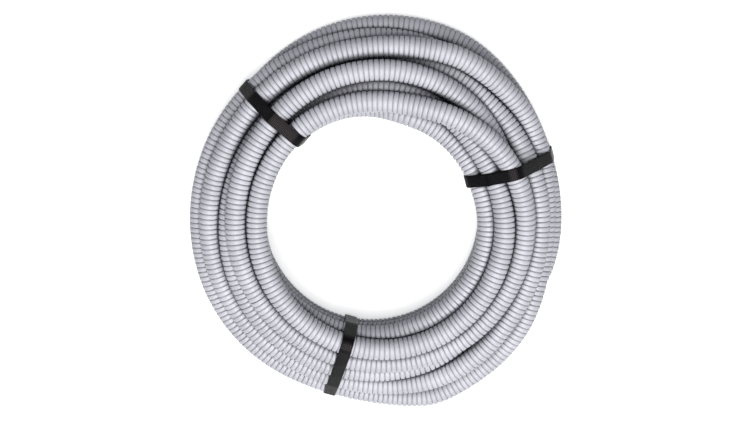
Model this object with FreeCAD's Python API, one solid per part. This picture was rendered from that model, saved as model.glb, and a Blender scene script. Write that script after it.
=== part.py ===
"""A coil of corrugated electrical conduit, about ten metres of it, held by three welded straps.

Units are millimetres. The coil lies flat: +Z is up through its eye, z = 0 is the floor under the
straps, and the origin is on the eye's axis. Clock angles run clockwise from +Y, seen from above.
The wound turns are one turned solid. The first turn lies on the floor under the eye's edge, and
there the conduit ends in a true corrugated tube, open to its bore.
"""
import FreeCAD
import Part
import math
import os

Vector = FreeCAD.Vector
ORIGIN = Vector(0, 0, 0)
UP = Vector(0, 0, 1)

# Conduit
conduit_od = 20.0             # over the crests
conduit_bore = 14.1           # inside the grooves
wall = 0.5
corrugation_pitch = 4.8
groove_width = 1.2            # at a groove's bottom
flank_length = 0.45           # along the conduit, from a groove's bottom to the crest
end_grooves = 3               # on the open end

# Coil
eye_radius = 103.0            # from the axis to the innermost crest
first_turn_place = 1.0        # places are counted outwards in turn pitches, and rows from the floor up
rows = [(2.0, 2), (0.5, 3), (1.0, 3), (0.5, 2)]   # each row's first place and number of turns
sides_per_turn = 8            # flat sides round a turn's section

# First turn: from the open end clockwise, until it runs in beside the second
open_end_clock = 276.0
run_in_clock = 204.0

# Bulges of the outermost turns: the row, and three points of the arc as clock angle and place
bulges = [
    (0, [(324, 2.85), (12, 3.85), (62, 2.85)]),
    (1, [(120, 2.85), (157, 4.15), (187, 2.85)]),
]

# Straps
strap_width = 11.5
strap_thickness = 0.7
strap_clearance = 0.7         # between a strap and the turns that it is drawn over
weld_length = 32.0            # the strap's two ends lie on each other for this length, under the coil
straps = {"strap_left": (316.6, -5.5), "strap_right": (70.6, 4.4), "strap_front": (191.9, 3.7)}

# Worked out
crest_radius = conduit_od / 2
groove_radius = conduit_bore / 2 + wall
side_angle = 360 / sides_per_turn
corner_radius = crest_radius / math.cos(math.radians(side_angle / 2))
row_height = conduit_od * math.sqrt(3) / 2
floor_turn_z = 2 * strap_thickness + strap_clearance + crest_radius


def turn_centre(row, place):
    """Centre of a turn's section, with the radius as x."""
    return Vector(eye_radius + place * conduit_od, 0, floor_turn_z + row * row_height)


def turn_centres():
    """Centres of all the turns that go the whole way round."""
    return [turn_centre(row, first + i) for row, (first, count) in enumerate(rows) for i in range(count)]


def turn_section(centre):
    """Face across one turn: a regular polygon whose sides touch the tube's crests."""
    corners = []
    for k in range(sides_per_turn + 1):
        a = math.radians(side_angle * (k + 0.5))
        corners.append(centre + Vector(math.cos(a), 0, math.sin(a)) * corner_radius)
    return Part.Face(Part.makePolygon(corners))


def bundle():
    """The whole turns as one solid round the eye, without the small gaps between them."""
    sections = [turn_section(centre) for centre in turn_centres()]
    outline = sections[0].fuse(sections[1:]).removeSplitter().Faces[0].OuterWire
    return Part.Face(outline).revolve(ORIGIN, UP, 360)


def centre_at(clock_angle, row, place):
    """Centre of a turn at a clock angle."""
    a = math.radians(clock_angle)
    centre = turn_centre(row, place)
    return Vector(centre.x * math.sin(a), centre.x * math.cos(a), centre.z)


def angle_of(spoke):
    """Angle of a spoke on the plan, in degrees from +X."""
    return math.degrees(math.atan2(spoke.y, spoke.x))


def arc_of_tube(middle, start, end):
    """Tube that runs clockwise round a middle, from one place to another."""
    section = turn_section(Vector((start - middle).Length, 0, 0))
    section.rotate(ORIGIN, UP, angle_of(start - middle))
    section.translate(middle)
    sweep = (angle_of(start - middle) - angle_of(end - middle)) % 360
    return section.revolve(middle, -UP, sweep)


def bulge(row, points):
    """An outermost turn where it swings out of the bundle, along the arc through three points."""
    start, between, end = [centre_at(clock_angle, row, place) for clock_angle, place in points]
    middle = Part.Arc(start, between, end).toShape().Curve.Center
    return arc_of_tube(middle, start, end)


def corrugated_end():
    """Open end of the conduit along +Z, mouth at the top: wall of even thickness, waved in and out."""
    corner_shift = wall * math.tan(math.atan2(crest_radius - groove_radius, flank_length) / 2)
    outside = []
    inside = []
    for k in range(end_grooves):
        z = -k * corrugation_pitch
        rise = z - groove_width
        crest = rise - flank_length
        fall = z - corrugation_pitch + flank_length
        outside += [(groove_radius, z), (groove_radius, rise), (crest_radius, crest), (crest_radius, fall)]
        inside += [(conduit_bore / 2, min(z + corner_shift, 0)), (conduit_bore / 2, rise - corner_shift),
                   (crest_radius - wall, crest - corner_shift), (crest_radius - wall, fall + corner_shift)]
    bottom = -end_grooves * corrugation_pitch
    outside.append((groove_radius, bottom))
    inside += [(conduit_bore / 2, bottom + corner_shift), (conduit_bore / 2, bottom)]
    profile = [Vector(r, 0, z) for r, z in outside + list(reversed(inside))]
    return Part.Face(Part.makePolygon(profile + profile[:1])).revolve(ORIGIN, UP, 360)


def first_turn():
    """The turn on the floor under the eye's edge, with the open end and the way to the second turn."""
    centre = turn_centre(0, first_turn_place)
    middle = Vector(0, 0, centre.z)
    start = centre_at(open_end_clock, 0, first_turn_place)
    end = centre_at(run_in_clock, 0, first_turn_place)
    turn = arc_of_tube(middle, start, end)
    run_in = turn_section(Vector(centre.x, 0, 0))
    run_in.rotate(ORIGIN, UP, angle_of(end - middle))
    run_in.translate(middle)
    clockwise = (end - middle).normalize().cross(UP)
    next_radius = centre.x + conduit_od
    run_in = run_in.extrude(clockwise * math.sqrt(next_radius ** 2 - centre.x ** 2))
    mouth_way = UP.cross((start - middle).normalize())
    tube_length = end_grooves * corrugation_pitch
    tube = corrugated_end()
    tube.Placement = FreeCAD.Placement(start + mouth_way * tube_length, FreeCAD.Rotation(UP, mouth_way))
    return turn, run_in, tube


def conduit():
    """The whole conduit as one solid."""
    turn, run_in, tube = first_turn()
    parts = [turn, run_in, tube] + [bulge(row, points) for row, points in bulges]
    return bundle().fuse(parts).removeSplitter().Solids[0]


def turns_left(a, b, c):
    """Positive where the way from a through b to c turns left."""
    return (b.x - a.x) * (c.z - a.z) - (b.z - a.z) * (c.x - a.x)


def hull(points):
    """Convex outline of points in the radius-height plane, anticlockwise."""
    ordered = sorted(points, key=lambda p: (round(p.x, 6), round(p.z, 6)))

    def chain(side):
        kept = []
        for p in side:
            while len(kept) > 1 and turns_left(kept[-2], kept[-1], p) <= 1e-6:
                kept.pop()
            kept.append(p)
        return kept[:-1]

    return chain(ordered) + chain(reversed(ordered))


def drawn_over(distance):
    """Outline of a band drawn tight over the turns, this far outside them."""
    sections = [turn_section(centre) for centre in turn_centres() + [turn_centre(0, first_turn_place)]]
    corners = hull([vertex.Point for section in sections for vertex in section.Vertexes])
    return Part.makePolygon(corners + corners[:1]).makeOffset2D(distance)


def strap(clock_angle, skew):
    """One strap: a closed band round the bundle, a little askew, with its welded lap under the coil."""
    inner = turn_centre(0, first_turn_place).x
    outer = max(centre.x for centre in turn_centres() if centre.z == floor_turn_z)
    middle = Vector((inner + outer) / 2, 0, 0)
    outside = Part.Face(drawn_over(strap_clearance + strap_thickness))
    inside = Part.Face(drawn_over(strap_clearance))
    band = outside.cut(inside)
    lap_line = Part.makeLine(middle - Vector(weld_length / 2, 0, 0), middle + Vector(weld_length / 2, 0, 0))
    lap = lap_line.extrude(Vector(0, 0, strap_thickness))
    profiles = Part.makeCompound([band, lap])
    profiles.rotate(middle, UP, -skew)
    pieces = profiles.extrude(Vector(0, strap_width, 0)).Solids
    solid = pieces[0].fuse(pieces[1:]).removeSplitter().Solids[0]
    solid.translate(Vector(0, -strap_width / 2, 0))
    solid.rotate(ORIGIN, UP, 90 - clock_angle)
    return solid


def main():
    """Write one STEP file for each piece."""
    os.makedirs("parts", exist_ok=True)
    pieces = {"conduit": conduit()}
    for name, (clock_angle, skew) in straps.items():
        pieces[name] = strap(clock_angle, skew)
    for name, shape in pieces.items():
        shape.exportStep(f"parts/{name}.step")


main()
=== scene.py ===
"""A coil of pale grey corrugated conduit held by three black straps, seen from above on a white floor.

The conduit is one length of tube. Its turns start in lanes, which are settled against each other until
they touch, and a corrugated tube is laid along the settled line. Lengths are in metres, and clock angles
are in degrees, clockwise from +Y.
"""
import logging
import math
from dataclasses import dataclass, field
from enum import Enum

import bmesh
import bpy
import numpy as np
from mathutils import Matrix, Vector


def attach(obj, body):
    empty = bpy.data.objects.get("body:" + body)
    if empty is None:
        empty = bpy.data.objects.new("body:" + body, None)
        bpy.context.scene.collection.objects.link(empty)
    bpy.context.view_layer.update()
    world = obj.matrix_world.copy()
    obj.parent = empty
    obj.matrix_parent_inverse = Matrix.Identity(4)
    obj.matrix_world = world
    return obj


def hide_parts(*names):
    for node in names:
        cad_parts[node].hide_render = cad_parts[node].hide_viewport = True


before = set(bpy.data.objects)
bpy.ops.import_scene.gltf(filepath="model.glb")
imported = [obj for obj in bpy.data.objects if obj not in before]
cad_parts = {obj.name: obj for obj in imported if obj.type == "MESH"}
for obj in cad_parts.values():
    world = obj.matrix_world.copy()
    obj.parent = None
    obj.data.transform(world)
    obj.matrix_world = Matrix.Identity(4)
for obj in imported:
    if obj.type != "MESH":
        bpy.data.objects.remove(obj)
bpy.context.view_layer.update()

logging.basicConfig(level=logging.INFO, format="%(levelname)s %(message)s")
LOG = logging.getLogger("coil")

MM = 0.001


@dataclass(frozen=True)
class Conduit:
    """Sizes of the corrugated tube."""

    diameter: float = 20.0 * MM
    bore: float = 14.1 * MM
    pitch: float = 4.8 * MM
    wall: float = 0.5 * MM
    groove_radius: float = 8.5 * MM
    shoulder: float = 0.22 * MM
    sides: int = 24


@dataclass(frozen=True)
class Waypoint:
    """A place that a turn is drawn towards.

    The clock angle goes on counting from turn to turn, and layer 1 lies on the floor.
    """

    clock: float
    radius: float
    layer: float
    hold: float


def lane(*points: tuple[float, float, float, float]) -> list[Waypoint]:
    """Makes waypoints from clock angles, radii in millimetres, layers and strengths."""
    return [Waypoint(clock, radius * MM, layer, hold) for clock, radius, layer, hold in points]


# Where the turns run, from the hidden start under the coil to the end on the floor
HIDDEN_TURNS = lane((-1640, 134, 1, 0.5), (-1460, 132, 1, 0.5), (-1400, 114, 1, 0.5), (-1080, 114, 1, 0.5),
                    (-1000, 131, 2, 0.3), (-700, 127, 2, 0.3), (-640, 111, 2, 0.3), (-360, 111, 2, 0.3))
INNER_TURN = lane((-320, 111, 2.7, 0.3), (-290, 112, 3, 0.5), (-240, 115, 3, 0.5), (-200, 115, 3, 0.5),
                  (-150, 112, 3, 0.5), (-60, 111, 3, 0.5), (-35, 118, 3, 0.8), (-15, 127, 3, 0.8), (20, 127, 3, 0.8))
FIRST_TOP_TURN = lane((42, 125, 3.4, 0.5), (60, 119, 3.9, 0.5), (72, 122, 4, 1), (90, 125, 4, 1),
                      (120, 130, 4, 1), (150, 128.5, 4, 1), (180, 121, 4, 1), (200, 117, 4, 1),
                      (220, 114, 4, 1), (250, 109, 4, 1), (270, 107, 4, 1), (300, 108, 4, 1),
                      (330, 112, 4, 1), (360, 112.5, 4, 1), (380, 116, 4, 1), (390, 119, 4.2, 1),
                      (400, 125, 4.5, 1), (410, 131, 4.7, 1), (420, 135, 4.6, 1))
SECOND_TOP_TURN = lane((432, 140, 4.4, 1), (450, 145, 3.8, 1), (480, 147, 3.6, 1), (510, 146.5, 3.6, 1),
                       (540, 140.5, 3.6, 1), (555, 136, 3.6, 1), (580, 131.5, 3.8, 1), (610, 128, 4, 1),
                       (640, 126.5, 4, 1), (670, 129, 4, 1), (690, 134, 4, 1), (710, 141, 4, 1),
                       (740, 145, 4, 1), (760, 144, 3.8, 1), (775, 141, 3.3, 0.5))
PACKED_TURN = lane((790, 141, 2.7, 0.3), (820, 147, 2.1, 0.3), (870, 149, 2.2, 0.5), (900, 152, 2.7, 1), (925, 149, 2.7, 1),
                   (945, 145, 2.8, 1), (970, 138, 2.9, 0.6), (1000, 132, 3, 0.5),
                   (1050, 132, 3, 0.5), (1090, 141, 2.4, 0.3), (1120, 149, 2.4, 0.3))
SHOULDER_TURN = lane((1140, 154, 2.8, 0.5), (1160, 158, 3, 1), (1210, 162, 2.9, 1), (1230, 164, 2.6, 1), (1245, 165, 2.4, 1), (1260, 164, 2.1, 1),
                     (1280, 161, 2.2, 1), (1300, 158, 2.5, 1), (1325, 154, 2.8, 1), (1350, 152, 3, 1), (1375, 146, 3, 1),
                     (1410, 149, 3, 1), (1440, 157, 3, 1), (1460, 159, 3, 1), (1480, 160, 2.9, 0.7))
SIDE_TURN = lane((1500, 160, 2.4, 0.5), (1540, 163, 2, 0.5), (1557, 168, 1.7, 0.8), (1570, 178, 1.3, 1),
                 (1582, 187, 1.1, 1), (1593, 195, 1, 1), (1603, 189, 1, 1), (1613, 176, 1, 1), (1624, 171, 1, 1.2),
                 (1634, 170, 1, 1), (1648, 173, 1.2, 1), (1667, 172, 1.5, 1), (1684, 166, 2, 1), (1700, 160, 2.1, 1),
                 (1745, 160, 2.1, 1), (1770, 163, 2.1, 1), (1800, 169.5, 2.1, 1), (1820, 170.5, 2, 1),
                 (1840, 166, 2, 1), (1850, 159, 1.9, 1), (1860, 154, 1.7, 0.7))
FLOOR_TURN = lane((1890, 148, 1, 0.3), (1960, 147, 1, 0.3), (2000, 152, 1, 0.5),
                  (2020, 152, 1, 0.5), (2080, 152, 1, 0.5),
                  (2110, 156, 1, 0.6), (2130, 166, 1, 1), (2150, 177, 1, 1), (2175, 185, 1, 1.2), (2200, 174, 1, 1),
                  (2220, 168, 1, 1), (2232, 166, 1, 1), (2250, 167, 1, 1), (2280, 174, 1, 1),
                  (2300, 173, 1, 1), (2312, 170, 1, 1), (2325, 165, 1, 1))
LANES = (HIDDEN_TURNS + INNER_TURN + FIRST_TOP_TURN + SECOND_TOP_TURN + PACKED_TURN + SHOULDER_TURN
         + SIDE_TURN + FLOOR_TURN)


@dataclass(frozen=True)
class Winding:
    """Settles the turns against each other, on the floor and round the eye.

    Every station of the route has its own clock angle, and moves only outwards, inwards, up and down.
    """

    conduit: Conduit = field(default_factory=Conduit)
    stations: int = 120
    rounds: int = 420
    quick_rounds: int = 160
    floor: float = 1.8 * MM
    eye: float = 102.5 * MM
    eye_shift: float = 6.3 * MM
    eye_lean: float = 0.1
    reach: int = 3
    nest: float = 0.5 * MM

    def settle(self) -> np.ndarray:
        """Returns the settled route's points."""
        size = self.conduit.diameter
        knots = [point.clock for point in LANES]
        clock = np.arange(knots[0], knots[-1] + 0.1, 360 / self.stations)
        wish, layer, hold = (blurred(np.interp(clock, knots, [getattr(point, name) for point in LANES]))
                             for name in ("radius", "layer", "hold"))
        level = self.floor + size / 2 + (layer - 1) * size * math.sqrt(3) / 2
        radius, height = wish.copy(), level.copy()
        sine, cosine = np.sin(np.radians(clock)), np.cos(np.radians(clock))
        rounds = self.rounds
        for n in range(rounds):
            if n < 0.85 * rounds:
                radius += 0.12 * hold * np.clip(wish - radius, -3 * MM, 3 * MM)
                height += 0.06 * (level - height) - 0.15 * MM
            for _ in range(6):
                self.push_apart(radius, height, sine, cosine)
                np.maximum(height, self.floor + size / 2, out=height)
                lean = self.eye_lean * (height - self.floor - size / 2)
                np.maximum(radius, self.eye + size / 2 - self.eye_shift * cosine - lean, out=radius)
            for values in (radius, height):
                for _ in range(2):
                    values[1:-1] += 0.25 * (0.5 * (values[:-2] + values[2:]) - values[1:-1])
        return np.column_stack((radius * sine, radius * cosine, height))

    def push_apart(self, radius: np.ndarray, height: np.ndarray, sine: np.ndarray, cosine: np.ndarray) -> None:
        """Moves stations of different turns apart where they are closer than the tube is thick."""
        size = self.conduit.diameter - self.nest
        x, y = radius * sine, radius * cosine
        out, up, touches = np.zeros_like(x), np.zeros_like(x), np.zeros_like(x)
        for turn in range(1, len(x) // self.stations + 2):
            for lag in range(-self.reach, self.reach + 1):
                step = turn * self.stations + lag
                if step >= len(x):
                    continue
                a, b = slice(0, len(x) - step), slice(step, len(x))
                gap = np.array((x[b] - x[a], y[b] - y[a], height[b] - height[a]))
                distance = np.sqrt((gap ** 2).sum(axis=0)) + 1e-9
                push = np.maximum(size - distance, 0) / distance / 2
                if not push.any():
                    continue
                out[a] -= push * (gap[0] * sine[a] + gap[1] * cosine[a])
                out[b] += push * (gap[0] * sine[b] + gap[1] * cosine[b])
                up[a] -= push * gap[2]
                up[b] += push * gap[2]
                touches[a] += push > 0
                touches[b] += push > 0
        share = 1.2 / np.maximum(touches, 1)
        radius += share * out
        height += share * up


def blurred(values: np.ndarray, spread: float = 2.0) -> np.ndarray:
    """Returns values smoothed over a few neighbours."""
    half = int(3 * spread)
    kernel = np.exp(-0.5 * (np.arange(-half, half + 1) / spread) ** 2)
    return np.convolve(np.pad(values, half, mode="edge"), kernel / kernel.sum(), "valid")


def unit(vectors: np.ndarray) -> np.ndarray:
    """Returns vectors at length one."""
    return vectors / np.linalg.norm(vectors, axis=1, keepdims=True)


def travelled(points: np.ndarray) -> np.ndarray:
    """Returns the distance along a line at each of its points."""
    return np.concatenate(([0.0], np.cumsum(np.linalg.norm(np.diff(points, axis=0), axis=1))))


@dataclass(frozen=True)
class Line:
    """A line in space with a frame at each of its points."""

    points: np.ndarray
    normals: np.ndarray
    binormals: np.ndarray
    places: np.ndarray

    @property
    def length(self) -> float:
        """Length of the line."""
        return float(self.places[-1])

    @classmethod
    def untwisted(cls, points: np.ndarray) -> "Line":
        """Makes a line whose frame turns no more than the line does, and starts upright."""
        tangents = unit(np.gradient(points, axis=0))
        normals = np.empty_like(points)
        normal = np.array((0.0, 0.0, 1.0))
        for i, tangent in enumerate(tangents):
            normal = normal - tangent * normal.dot(tangent)
            normal = normal / np.linalg.norm(normal)
            normals[i] = normal
        return cls(points, normals, np.cross(tangents, normals), travelled(points))

    @classmethod
    def flat(cls, points: np.ndarray, side: np.ndarray) -> "Line":
        """Makes a line in one plane, whose binormal is the plane's own."""
        tangents = unit(np.gradient(points, axis=0))
        binormals = np.tile(side, (len(points), 1))
        return cls(points, np.cross(binormals, tangents), binormals, travelled(points))

    def at(self, places: np.ndarray) -> tuple[np.ndarray, np.ndarray, np.ndarray]:
        """Returns points, normals and binormals at distances along the line."""
        def between(values: np.ndarray) -> np.ndarray:
            return np.column_stack([np.interp(places, self.places, values[:, k]) for k in range(3)])
        return between(self.points), unit(between(self.normals)), unit(between(self.binormals))


def spline_points(points: np.ndarray) -> np.ndarray:
    """Reads back the points of one open NURBS spline through a route.

    Args:
        points: The route's control points.

    Returns:
        Closely spaced points of the spline.
    """
    curve = bpy.data.curves.new("conduit_route", "CURVE")
    curve.dimensions = "3D"
    curve.resolution_u = 6
    spline = curve.splines.new("NURBS")
    spline.points.add(len(points) - 1)
    spline.points.foreach_set("co", np.column_stack((points, np.ones(len(points)))).ravel())
    spline.order_u = 3
    spline.use_endpoint_u = True
    holder = bpy.data.objects.new("conduit_route", curve)
    mesh = bpy.data.meshes.new_from_object(holder)
    read = np.empty(len(mesh.vertices) * 3)
    mesh.vertices.foreach_get("co", read)
    bpy.data.objects.remove(holder)
    bpy.data.meshes.remove(mesh)
    bpy.data.curves.remove(curve)
    return read.reshape(-1, 3)


def repeated(one: bpy.types.Mesh, count: int, step: float) -> bpy.types.Mesh:
    """Returns a mesh repeated along Z, its copies joined.

    Args:
        one: The mesh to repeat, which is used up.
        count: How many copies.
        step: Distance from copy to copy.

    Returns:
        The joined mesh.
    """
    holder = bpy.data.objects.new("repeated", one)
    bpy.context.scene.collection.objects.link(holder)
    array = holder.modifiers.new("repeat", "ARRAY")
    array.count = count
    array.use_relative_offset = False
    array.use_constant_offset = True
    array.constant_offset_displace = (0, 0, step)
    array.use_merge_vertices = True
    array.merge_threshold = 0.01 * MM
    graph = bpy.context.evaluated_depsgraph_get()
    mesh = bpy.data.meshes.new_from_object(holder.evaluated_get(graph))
    bpy.data.objects.remove(holder)
    bpy.data.meshes.remove(one)
    return mesh


def laid_along(mesh: bpy.types.Mesh, line: Line, start: float = 0.0) -> None:
    """Bends a straight mesh along a line, and keeps its straight shape as an attribute.

    Args:
        mesh: A mesh along Z, whose X becomes the line's normal and Y its binormal.
        line: The line to follow.
        start: Distance along the line of the mesh's z = 0.
    """
    straight = np.empty(len(mesh.vertices) * 3)
    mesh.vertices.foreach_get("co", straight)
    straight = straight.reshape(-1, 3)
    straight[:, 2] += start
    attribute = mesh.attributes.new("straight", "FLOAT_VECTOR", "POINT")
    attribute.data.foreach_set("vector", straight.ravel())
    points, normals, binormals = line.at(straight[:, 2])
    bent = points + normals * straight[:, :1] + binormals * straight[:, 1:2]
    mesh.vertices.foreach_set("co", bent.ravel())
    mesh.update()


def finished_piece(mesh: bpy.types.Mesh, name: str, material: bpy.types.Material, node: str
                   ) -> bpy.types.Object:
    """Makes the object of a finished mesh.

    Args:
        mesh: The mesh, in place.
        name: The piece's name.
        material: Its material.
        node: The CAD node that the piece stands for.

    Returns:
        The object.
    """
    mesh.materials.clear()
    mesh.materials.append(material)
    mesh.polygons.foreach_set("use_smooth", [True] * len(mesh.polygons))
    piece = bpy.data.objects.new(name, mesh)
    bpy.context.scene.collection.objects.link(piece)
    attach(piece, "root")
    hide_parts(node)
    return piece


@dataclass
class CorrugatedTube:
    """The conduit, made straight and laid along the coil's line."""

    conduit: Conduit
    line: Line
    lengths: int = 4
    bore_waves: int = 3

    @property
    def profile(self) -> list[tuple[float, float]]:
        """The outside of one corrugation, a groove and a flat crest, as parts of a pitch and radii."""
        size = self.conduit
        crest = size.diameter / 2
        shoulder = crest - size.shoulder
        return [(0.0, size.groove_radius), (0.1, size.groove_radius), (0.16, shoulder), (0.23, crest),
                (0.87, crest), (0.94, shoulder), (1.0, size.groove_radius)]

    def corrugation(self) -> bpy.types.Mesh:
        """Returns one corrugation, spun round Z."""
        size = self.conduit
        shape = bmesh.new()
        rim = [shape.verts.new((radius, 0, part * size.pitch)) for part, radius in self.profile]
        edges = [shape.edges.new(pair) for pair in zip(rim, rim[1:])]
        bmesh.ops.spin(shape, geom=rim + edges, cent=(0, 0, 0), axis=(0, 0, 1), angle=2 * math.pi,
                       steps=size.sides, use_merge=True)
        mesh = bpy.data.meshes.new("corrugation")
        shape.to_mesh(mesh)
        shape.free()
        return mesh

    def build(self, material: bpy.types.Material) -> list[bpy.types.Object]:
        """Lays the tube along the line in several lengths."""
        count = int(self.line.length / self.conduit.pitch)
        ends = [round(count * k / self.lengths) for k in range(self.lengths + 1)]
        return [self.stretch(k + 1, ends[k], ends[k + 1], material) for k in range(self.lengths)]

    def bored(self, shape: bmesh.types.BMesh, rim: list[bmesh.types.BMEdge], inwards: float) -> None:
        """Turns a cut end's rim in and down the waved bore.

        Args:
            shape: The straight tube.
            rim: Edges of the cut end.
            inwards: The way into the tube along Z, 1 or -1.
        """
        size = self.conduit
        place = rim[0].verts[0].co.z
        lowest, highest = size.bore / 2, size.diameter / 2 - size.wall
        for n in range(self.bore_waves):
            for part, radius in self.profile[n > 0:]:
                made = bmesh.ops.extrude_edge_only(shape, edges=rim)["geom"]
                rim = [item for item in made if isinstance(item, bmesh.types.BMEdge) and item.is_boundary]
                inside = np.interp(radius, (size.groove_radius, size.diameter / 2), (lowest, highest))
                for vert in {vert for edge in rim for vert in edge.verts}:
                    flat = vert.co.xy.normalized() * float(inside)
                    vert.co = (flat.x, flat.y, place + inwards * (n + part) * size.pitch)
        bmesh.ops.holes_fill(shape, edges=rim, sides=0)

    def stretch(self, number: int, first: int, last: int, material: bpy.types.Material) -> bpy.types.Object:
        """Makes the corrugations from first to last as one closed piece, with its bore where the tube is cut."""
        pitch = self.conduit.pitch
        mesh = repeated(self.corrugation(), last - first, pitch)
        shape = bmesh.new()
        shape.from_mesh(mesh)
        for cut, level, inwards in ((first == 0, 0.0, 1.0), (number == self.lengths, (last - first) * pitch, -1.0)):
            if cut:
                self.bored(shape, [edge for edge in shape.edges if edge.is_boundary
                                   and abs(edge.verts[0].co.z - level) < pitch / 2], inwards)
        bmesh.ops.holes_fill(shape, edges=[edge for edge in shape.edges if edge.is_boundary], sides=0)
        bmesh.ops.recalc_face_normals(shape, faces=shape.faces)
        shape.to_mesh(mesh)
        shape.free()
        laid_along(mesh, self.line, first * pitch)
        piece = finished_piece(mesh, f"conduit_length_{number}", material, "conduit")
        path, _, _ = self.line.at(np.arange(first, last + 1) * pitch)
        return piece


class Strap(Enum):
    """The straps, by the name of their CAD node."""

    LEFT = "strap_left"
    RIGHT = "strap_right"
    FRONT = "strap_front"


@dataclass(frozen=True)
class Band:
    """A strap's sizes, and where it crosses the coil."""

    strap: Strap
    clock: float
    skew: float
    width: float = 11.5 * MM
    thickness: float = 0.7 * MM
    clearance: float = 0.4 * MM
    lap: float = 32.0 * MM


BANDS = (
    Band(Strap.LEFT, 316.9, -5.5),
    Band(Strap.RIGHT, 70.6, 4.4),
    Band(Strap.FRONT, 192.0, 3.7),
)


@dataclass
class Strapping:
    """Straps drawn tight over the settled turns."""

    conduit: Conduit
    line: Line
    middle: float = 143.0 * MM
    step: float = 1.5 * MM
    bevel: float = 0.18 * MM

    def build(self, band: Band, material: bpy.types.Material) -> bpy.types.Object:
        """Makes one strap, a closed band and the welded lap of its ends underneath."""
        clock, heading = math.radians(band.clock), math.radians(band.clock + band.skew)
        centre = np.array((math.sin(clock), math.cos(clock), 0.0)) * self.middle
        outward = np.array((math.sin(heading), math.cos(heading), 0.0))
        side = np.cross(outward, (0.0, 0.0, 1.0))
        outline = self.outline(band, centre, outward, side)
        points = centre + outline[:, :1] * outward + outline[:, 1:2] * np.array((0.0, 0.0, 1.0))
        loop = Line.flat(points, side)
        steps = round(loop.length / self.step)
        mesh = self.strip(band, loop.length / steps, steps, closed=True)
        laid_along(mesh, loop)
        lap_points = centre + outward * np.linspace(-band.lap / 2, band.lap / 2, 9)[:, None]
        lap_points[:, 2] = band.thickness / 2
        lap_steps = round(band.lap / self.step)
        lap = self.strip(band, band.lap / lap_steps, lap_steps, closed=False)
        laid_along(lap, Line.flat(lap_points, side))
        shape = bmesh.new()
        shape.from_mesh(mesh)
        bmesh.ops.remove_doubles(shape, verts=shape.verts, dist=0.05 * MM)
        shape.from_mesh(lap)
        bmesh.ops.recalc_face_normals(shape, faces=shape.faces)
        shape.to_mesh(mesh)
        shape.free()
        bpy.data.meshes.remove(lap)
        return finished_piece(mesh, band.strap.value + "_band", material, band.strap.value)

    def outline(self, band: Band, centre: np.ndarray, outward: np.ndarray, side: np.ndarray) -> np.ndarray:
        """Returns the closed outline of the band's middle in its own plane, from under the coil."""
        turns = []
        for shift in (-0.45, -0.2, 0.0, 0.2, 0.45):
            offset = (self.line.points - centre) @ side - shift * band.width
            along = (self.line.points - centre) @ outward
            hits = np.nonzero((np.diff(np.sign(offset)) != 0) & (np.abs(along[:-1]) < self.middle / 2))[0]
            turns += [(along[i], self.line.points[i, 2]) for i in hits]
        reach = self.conduit.diameter / 2 + band.clearance + band.thickness / 2
        angles = np.linspace(0, 2 * math.pi, 90, endpoint=False)
        ring = np.column_stack((np.cos(angles), np.sin(angles))) * reach
        hull = convex_hull((np.array(turns)[:, None, :] + ring[None, :, :]).reshape(-1, 2))
        hull[:, 1] = np.maximum(hull[:, 1], 1.5 * band.thickness)
        lowest = hull[hull[:, 1] < hull[:, 1].min() + 1e-6]
        start = np.array((lowest[:, 0].mean(), hull[:, 1].min()))
        after = int(np.argmax(hull[:, 0] * (hull[:, 1] < hull[:, 1].min() + 1e-6) - (hull[:, 1] > hull[:, 1].min() + 1e-6)))
        hull = np.roll(hull, -after, axis=0)
        closed = np.vstack((start, hull, start))
        places = travelled(closed)
        even = np.linspace(0, places[-1], 400)
        return np.column_stack([np.interp(even, places, closed[:, k]) for k in range(2)])

    def strip(self, band: Band, step: float, count: int, closed: bool) -> bpy.types.Mesh:
        """Returns a straight band along Z with eased edges, open at its ends if it will be a closed loop."""
        shape = bmesh.new()
        bmesh.ops.create_cube(shape, size=1.0)
        bmesh.ops.scale(shape, vec=(band.thickness, band.width, step), verts=shape.verts)
        bmesh.ops.translate(shape, vec=(0, 0, step / 2), verts=shape.verts)
        long_edges = [edge for edge in shape.edges if abs(edge.verts[0].co.z - edge.verts[1].co.z) > step / 2]
        bmesh.ops.bevel(shape, geom=long_edges, offset=self.bevel, segments=2, profile=0.5, affect="EDGES",
                        material=-1)
        ends = [face for face in shape.faces if abs(face.normal.z) > 0.9]
        bmesh.ops.delete(shape, geom=ends, context="FACES_ONLY")
        mesh = bpy.data.meshes.new("strip")
        shape.to_mesh(mesh)
        shape.free()
        mesh = repeated(mesh, count, step)
        if not closed:
            shape = bmesh.new()
            shape.from_mesh(mesh)
            bmesh.ops.holes_fill(shape, edges=[edge for edge in shape.edges if edge.is_boundary], sides=0)
            shape.to_mesh(mesh)
            shape.free()
        return mesh


def convex_hull(points: np.ndarray) -> np.ndarray:
    """Returns the convex hull of flat points, anticlockwise."""
    ordered = points[np.lexsort((points[:, 1], points[:, 0]))]

    def chain(side: np.ndarray) -> list[np.ndarray]:
        kept: list[np.ndarray] = []
        for point in side:
            while len(kept) > 1 and turn(kept[-2], kept[-1], point) <= 0:
                kept.pop()
            kept.append(point)
        return kept[:-1]

    def turn(a: np.ndarray, b: np.ndarray, c: np.ndarray) -> float:
        return (b[0] - a[0]) * (c[1] - a[1]) - (b[1] - a[1]) * (c[0] - a[0])

    return np.array(chain(ordered) + chain(ordered[::-1]))


@dataclass(frozen=True)
class Finish:
    """A material's colour and surface, before wear."""

    name: str
    colour: tuple[float, float, float]
    roughness: float
    specular: float = 0.5


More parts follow.
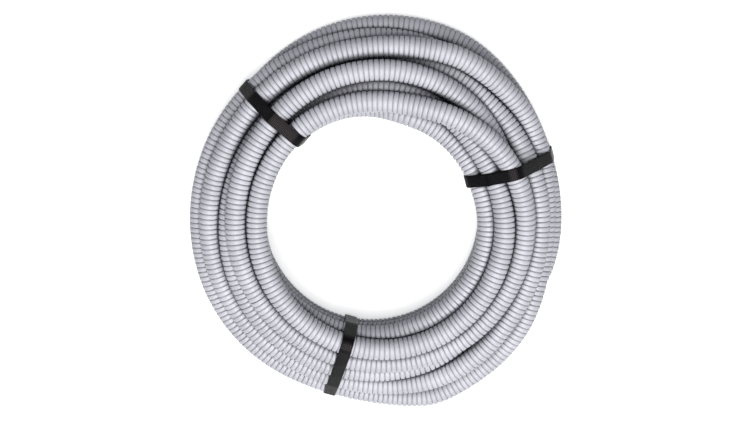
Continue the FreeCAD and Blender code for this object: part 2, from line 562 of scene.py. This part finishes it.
GREY_PVC = Finish("grey_pvc", (0.60, 0.595, 0.645), 0.42, 0.45)
BLACK_PP = Finish("black_pp", (0.004, 0.0035, 0.0045), 0.34, 0.06)
FLOOR_WHITE = Finish("floor_white", (0.93, 0.93, 0.93), 0.9, 0.1)


class Nodes:
    """Adds and links nodes in one tree."""

    def __init__(self, tree: bpy.types.NodeTree) -> None:
        self.tree = tree

    def add(self, kind: str, inputs: dict | None = None, **settings) -> bpy.types.Node:
        """Adds a node.

        Args:
            kind: Type of the node, such as ShaderNodeMath.
            inputs: Values or sockets for the node's inputs, by name or number.
            **settings: Properties of the node.

        Returns:
            The new node.
        """
        node = self.tree.nodes.new(kind)
        for key, value in settings.items():
            setattr(node, key, value)
        for key, value in (inputs or {}).items():
            if isinstance(value, bpy.types.NodeSocket):
                self.tree.links.new(value, node.inputs[key])
            else:
                node.inputs[key].default_value = value
        return node

    def math(self, operation: str, a, b=0.0, c=0.0, clamp: bool = False) -> bpy.types.NodeSocket:
        """Returns the result of a math node."""
        return self.add("ShaderNodeMath", {0: a, 1: b, 2: c}, operation=operation, use_clamp=clamp).outputs[0]

    def mix(self, factor, a, b) -> bpy.types.NodeSocket:
        """Returns two colours mixed."""
        return self.add("ShaderNodeMix", {0: factor, 6: a, 7: b}, data_type="RGBA").outputs[2]

    def step(self, value, low: float, high: float) -> bpy.types.NodeSocket:
        """Returns 0 below low, 1 above high and a smooth rise between."""
        return self.add("ShaderNodeMapRange", {"Value": value, "From Min": low, "From Max": high},
                        interpolation_type="SMOOTHSTEP").outputs["Result"]

    def noise(self, vector, scale: float, detail: float = 3.0, roughness: float = 0.5) -> bpy.types.NodeSocket:
        """Returns a noise value."""
        return self.add("ShaderNodeTexNoise", {"Vector": vector, "Scale": scale, "Detail": detail,
                                               "Roughness": roughness}).outputs["Fac"]


def wear_group() -> bpy.types.NodeTree:
    """Makes the group of wear that the plastics share: mottling, fine grain and scuffs at a vector."""
    tree = bpy.data.node_groups.new("Plastic wear", "ShaderNodeTree")
    tree.interface.new_socket("Vector", in_out="INPUT", socket_type="NodeSocketVector")
    for name in ("Mottle", "Grain", "Scuff"):
        tree.interface.new_socket(name, in_out="OUTPUT", socket_type="NodeSocketFloat")
    nodes = Nodes(tree)
    vector = nodes.add("NodeGroupInput").outputs["Vector"]
    stretched = nodes.add("ShaderNodeMapping", {"Vector": vector, "Scale": (1.0, 1.0, 0.12)}).outputs[0]
    streaks = nodes.step(nodes.noise(stretched, 420.0, 5.0, 0.65), 0.60, 0.74)
    patches = nodes.step(nodes.noise(vector, 45.0, 2.0), 0.48, 0.62)
    nodes.add("NodeGroupOutput", {"Mottle": nodes.noise(vector, 28.0, 4.0), "Grain": nodes.noise(vector, 1400.0, 2.0),
                                  "Scuff": nodes.math("MULTIPLY", streaks, patches)})
    return tree


@dataclass
class Materials:
    """Builds the scene's materials."""

    conduit: Conduit = field(default_factory=Conduit)
    wear: bpy.types.NodeTree = field(default_factory=wear_group)

    def start(self, finish: Finish) -> tuple[bpy.types.Material, Nodes, bpy.types.Node]:
        """Returns a new material, its node helper and its shader."""
        material = bpy.data.materials.new(finish.name)
        material.use_nodes = True
        shader = material.node_tree.nodes["Principled BSDF"]
        shader.inputs["Base Color"].default_value = (*finish.colour, 1)
        shader.inputs["Roughness"].default_value = finish.roughness
        shader.inputs["Specular IOR Level"].default_value = finish.specular
        return material, Nodes(material.node_tree), shader

    def worn(self, nodes: Nodes, vector: bpy.types.NodeSocket) -> bpy.types.Node:
        """Returns the shared wear, read at a vector."""
        node = nodes.add("ShaderNodeGroup", node_tree=self.wear)
        nodes.tree.links.new(vector, node.inputs["Vector"])
        return node

    def grey_pvc(self) -> bpy.types.Material:
        """Pale grey PVC: dust and painted shade in the grooves, painted shade in the gaps between turns, faint seams
        along the tube, scuffed crests.
        """
        material, nodes, shader = self.start(GREY_PVC)
        straight = nodes.add("ShaderNodeAttribute", attribute_name="straight").outputs["Vector"]
        parts = nodes.add("ShaderNodeSeparateXYZ", {0: straight})
        x, y = parts.outputs["X"], parts.outputs["Y"]
        from_axis = nodes.math("SQRT", nodes.math("ADD", nodes.math("MULTIPLY", x, x), nodes.math("MULTIPLY", y, y)))
        crest = nodes.step(from_axis, self.conduit.groove_radius, self.conduit.diameter / 2 - 0.1 * MM)
        groove = nodes.math("SUBTRACT", 1.0, crest)
        wear = self.worn(nodes, straight)
        light = (*[min(1.0, value * 1.07) for value in GREY_PVC.colour], 1)
        dark = (*[value * 0.91 for value in GREY_PVC.colour], 1)
        colour = nodes.mix(nodes.step(wear.outputs["Mottle"], 0.3, 0.7), dark, light)
        # Dust and painted shade: the grooves are darkened in noisy patches, standing partly for dust and partly for
        # the shade deep in them.
        dust_and_painted_light = nodes.math("MULTIPLY", groove, nodes.step(nodes.noise(straight, 160.0, 4.0), 0.25, 0.7))
        colour = nodes.mix(nodes.math("MULTIPLY", dust_and_painted_light, 0.3), colour, (0.25, 0.24, 0.26, 1))
        colour = nodes.mix(nodes.math("MULTIPLY", wear.outputs["Scuff"], 0.22), colour, (0.82, 0.82, 0.84, 1))
        # Painted shade: the colour goes to near black where ambient occlusion finds other turns close by, in the gaps
        # between turns, and less so in the grooves.
        openness = nodes.add("ShaderNodeAmbientOcclusion", {"Distance": 14 * MM}, samples=6).outputs["AO"]
        shade = nodes.math("SUBTRACT", 1.0, nodes.step(openness, 0.2, 0.68))
        shade = nodes.math("MULTIPLY", shade, nodes.math("MULTIPLY_ADD", groove, -0.4, 1.0))
        colour = nodes.mix(shade, colour, (0.02, 0.02, 0.03, 1))
        seam = nodes.math("SUBTRACT", 1.0, nodes.step(nodes.math("ABSOLUTE", y), 0.1 * MM, 0.45 * MM))
        rough = nodes.math("MULTIPLY_ADD", wear.outputs["Mottle"], 0.12, GREY_PVC.roughness - 0.06)
        rough = nodes.math("MULTIPLY_ADD", wear.outputs["Scuff"], 0.18, rough)
        rough = nodes.math("MULTIPLY_ADD", groove, 0.15, rough, clamp=True)
        height = nodes.math("MULTIPLY_ADD", seam, 0.6, nodes.math("MULTIPLY", wear.outputs["Grain"], 0.25))
        height = nodes.math("MULTIPLY_ADD", wear.outputs["Scuff"], -0.25, height)
        bump = nodes.add("ShaderNodeBump", {"Height": height, "Strength": 0.35, "Distance": 0.2 * MM})
        for name, value in (("Base Color", colour), ("Roughness", rough), ("Normal", bump.outputs[0])):
            nodes.tree.links.new(value, shader.inputs[name])
        return material

    def black_pp(self) -> bpy.types.Material:
        """Black band: cross ribs embossed in its faces, smooth edges, dust and a painted highlight on its level
        parts, a pale rub and painted sheen here and there.
        """
        material, nodes, shader = self.start(BLACK_PP)
        straight = nodes.add("ShaderNodeAttribute", attribute_name="straight").outputs["Vector"]
        parts = nodes.add("ShaderNodeSeparateXYZ", {0: straight})
        across, along = parts.outputs["Y"], parts.outputs["Z"]
        ribs = nodes.math("SINE", nodes.math("MULTIPLY", along, 2 * math.pi / (1.5 * MM)))
        weave = nodes.math("SINE", nodes.math("MULTIPLY", across, 2 * math.pi / (2.2 * MM)))
        inside = nodes.math("SUBTRACT", 1.0, nodes.step(nodes.math("ABSOLUTE", across), 4.6 * MM, 5.2 * MM))
        relief = nodes.math("MULTIPLY", nodes.math("MULTIPLY_ADD", weave, 0.25, ribs), inside)
        wear = self.worn(nodes, straight)
        # Wear and painted sheen: rib crests get a pale brownish colour in patches, standing partly for rubbing and
        # partly for the highlight on the ribs.
        rubbed_and_sheen = nodes.math("MULTIPLY", nodes.step(relief, 0.4, 1.0), nodes.step(wear.outputs["Mottle"], 0.45, 0.7))
        colour = nodes.mix(nodes.math("MULTIPLY", rubbed_and_sheen, 0.3), (*BLACK_PP.colour, 1), (0.05, 0.04, 0.04, 1))
        # Dust and painted highlight: the level, upward-facing parts of the band are lightened with a brownish colour,
        # so its top reads lighter than its sloping ends.
        facing = nodes.add("ShaderNodeSeparateXYZ", {0: nodes.add("ShaderNodeNewGeometry").outputs["True Normal"]})
        dust_and_painted_light = nodes.math("MULTIPLY", nodes.step(facing.outputs["Z"], 0.90, 0.995), nodes.step(relief, -0.6, 0.6))
        colour = nodes.mix(nodes.math("MULTIPLY", dust_and_painted_light, 0.28), colour, (0.17, 0.14, 0.145, 1))
        colour = nodes.mix(nodes.math("MULTIPLY", wear.outputs["Scuff"], 0.3), colour, (0.07, 0.065, 0.065, 1))
        rough = nodes.math("MULTIPLY_ADD", wear.outputs["Mottle"], 0.2, BLACK_PP.roughness - 0.08)
        rough = nodes.math("MULTIPLY_ADD", wear.outputs["Scuff"], 0.2, rough, clamp=True)
        height = nodes.math("MULTIPLY_ADD", wear.outputs["Grain"], 0.2, relief)
        bump = nodes.add("ShaderNodeBump", {"Height": height, "Strength": 0.6, "Distance": 0.15 * MM})
        for name, value in (("Base Color", colour), ("Roughness", rough), ("Normal", bump.outputs[0])):
            nodes.tree.links.new(value, shader.inputs[name])
        return material

    def floor_white(self) -> bpy.types.Material:
        """Plain white floor, which throws little light back up under the coil."""
        material, nodes, shader = self.start(FLOOR_WHITE)
        rays = nodes.add("ShaderNodeLightPath").outputs
        seen = nodes.math("ADD", rays["Is Camera Ray"], rays["Is Glossy Ray"])
        seen = nodes.math("ADD", seen, rays["Is Transmission Ray"], clamp=True)
        colour = nodes.mix(seen, (0.07, 0.075, 0.095, 1), (*FLOOR_WHITE.colour, 1))
        nodes.tree.links.new(colour, shader.inputs["Base Color"])
        shader.inputs["Emission Color"].default_value = (1.0, 1.0, 1.0, 1)
        nodes.tree.links.new(nodes.math("MULTIPLY", seen, 0.62), shader.inputs["Emission Strength"])
        return material


@dataclass(frozen=True)
class Lamp:
    """An area lamp that faces the coil."""

    name: str
    place: tuple[float, float, float]
    size: float
    power: float


LAMPS = (
    Lamp("key", (0.3, -1.9, 2.9), 1.0, 62.0),
    Lamp("top", (0.0, -0.2, 2.6), 1.2, 46.0),
)
COIL_MIDDLE = Vector((0.0, 0.0, 0.04))


@dataclass(frozen=True)
class Studio:
    """Floor, lamps and camera."""

    image: tuple[int, int] = (750, 423)
    scale: float = 1.05 / MM
    coil_on_image: tuple[float, float] = (371.5, 216.5)
    distance: float = 1.4
    tilt: float = 11.0
    sensor: float = 36.0

    def build(self, materials: Materials) -> None:
        """Sets up everything round the coil."""
        self.floor(materials.floor_white())
        for lamp in LAMPS:
            self.lamp(lamp)
        world = bpy.data.worlds.new("studio")
        world.use_nodes = True
        background = world.node_tree.nodes["Background"]
        background.inputs["Color"].default_value = (0.78, 0.86, 1.0, 1)
        background.inputs["Strength"].default_value = 0.10
        bpy.context.scene.world = world
        self.camera()
        scene = bpy.context.scene
        scene.view_settings.view_transform = "Standard"
        scene.render.resolution_x, scene.render.resolution_y = self.image

    def floor(self, material: bpy.types.Material) -> None:
        """Makes the floor."""
        shape = bmesh.new()
        bmesh.ops.create_grid(shape, x_segments=1, y_segments=1, size=6.0)
        mesh = bpy.data.meshes.new("floor")
        shape.to_mesh(mesh)
        shape.free()
        mesh.materials.append(material)
        floor = bpy.data.objects.new("floor", mesh)
        bpy.context.scene.collection.objects.link(floor)

    def lamp(self, lamp: Lamp) -> None:
        """Adds one lamp."""
        light = bpy.data.lights.new(lamp.name, "AREA")
        light.shape = "DISK"
        light.size = lamp.size
        light.energy = lamp.power
        holder = bpy.data.objects.new(lamp.name, light)
        holder.location = lamp.place
        holder.rotation_euler = (COIL_MIDDLE - Vector(lamp.place)).to_track_quat("-Z", "Y").to_euler()
        bpy.context.scene.collection.objects.link(holder)

    def camera(self) -> None:
        """Adds the camera, nearly overhead and a little towards the back."""
        width, height = self.image
        data = bpy.data.cameras.new("camera")
        data.sensor_width = self.sensor
        data.lens = self.sensor * self.distance / (width / self.scale)
        data.shift_x = (width / 2 - self.coil_on_image[0]) / width
        data.shift_y = (self.coil_on_image[1] - height / 2) / width
        camera = bpy.data.objects.new("camera", data)
        tilt = math.radians(self.tilt)
        camera.location = COIL_MIDDLE + Vector((0, math.sin(tilt), math.cos(tilt))) * self.distance
        camera.rotation_euler = (-tilt, 0, 0)
        bpy.context.scene.collection.objects.link(camera)
        bpy.context.scene.camera = camera


def main() -> None:
    """Builds the coil, its straps and the studio."""
    conduit = Conduit()
    materials = Materials(conduit)
    line = Line.untwisted(spline_points(Winding(conduit).settle()))
    LOG.info("the conduit is %.2f m long", line.length)
    CorrugatedTube(conduit, line).build(materials.grey_pvc())
    black = materials.black_pp()
    strapping = Strapping(conduit, line)
    for band in BANDS:
        strapping.build(band, black)
    Studio().build(materials)


if __name__ == "__main__":
    main()
